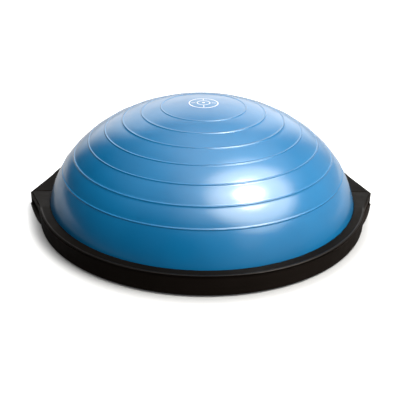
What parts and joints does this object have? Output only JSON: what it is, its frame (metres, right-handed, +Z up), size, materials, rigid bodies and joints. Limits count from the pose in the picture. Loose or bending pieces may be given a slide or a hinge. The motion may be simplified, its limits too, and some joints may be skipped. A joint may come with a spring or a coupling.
{
  "type": "balance dome trainer",
  "caption": "Inflated ribbed half-dome clamped on a round flat platform with two carrying ears, for balance and physiotherapy exercises.",
  "frame": {"origin": "on the floor under the centre of the platform, at the bottom centre of the box", "axes": "+X through the right carrying ear, +Y towards the inflation valve at the back, +Z up through the dome's crown"},
  "size_m": [0.687, 0.636, 0.218],
  "materials": {
    "platform_plastic": "fine moulded texture, satin black with a warm cast",
    "ring_plastic": "smooth satin black with a polished lip",
    "dome_vinyl": "glossy blue vinyl, broad soft highlights, raised rings",
    "floor_vinyl": "plain satin blue vinyl",
    "seat_vinyl": "satin darker blue vinyl",
    "plug_plastic": "off-white satin plastic",
    "screw_steel": "zinc-plated steel",
    "foot_rubber": "dull black rubber"
  },
  "bodies": {
    "base": {"platform_tray": "platform_plastic", "clamp_ring_front": "ring_plastic", "clamp_ring_back": "ring_plastic", "bladder_floor": "floor_vinyl", "valve_seat": "seat_vinyl", "clamp_screw_01": "screw_steel", "clamp_screw_02": "screw_steel", "clamp_screw_03": "screw_steel", "clamp_screw_04": "screw_steel", "clamp_screw_05": "screw_steel", "clamp_screw_06": "screw_steel", "clamp_screw_07": "screw_steel", "clamp_screw_08": "screw_steel", "clamp_screw_09": "screw_steel", "clamp_screw_10": "screw_steel", "clamp_screw_11": "screw_steel", "clamp_screw_12": "screw_steel", "clamp_screw_13": "screw_steel", "clamp_screw_14": "screw_steel", "clamp_screw_15": "screw_steel", "clamp_screw_16": "screw_steel", "rubber_foot_1": "foot_rubber", "rubber_foot_2": "foot_rubber", "rubber_foot_3": "foot_rubber", "rubber_foot_4": "foot_rubber", "rubber_foot_5": "foot_rubber", "rubber_foot_6": "foot_rubber", "rubber_foot_7": "foot_rubber", "rubber_foot_8": "foot_rubber"},
    "dome": {"dome_bladder": "dome_vinyl"},
    "plug": {"valve_plug": "plug_plastic"}
  },
  "joints": [
    {"name": "dome_press", "type": "slide", "parent": "base", "child": "dome", "axis": [0, 0, 1], "range_m": [-0.06, 0], "stiffness_N_per_m": 12000, "springref_m": 0.004, "deforming": ["dome_bladder"]},
    {"name": "plug_pull", "type": "slide", "parent": "base", "child": "plug", "axis": [0, 0.9362, 0.3516], "range_m": [0, 0.022]}
  ]
}
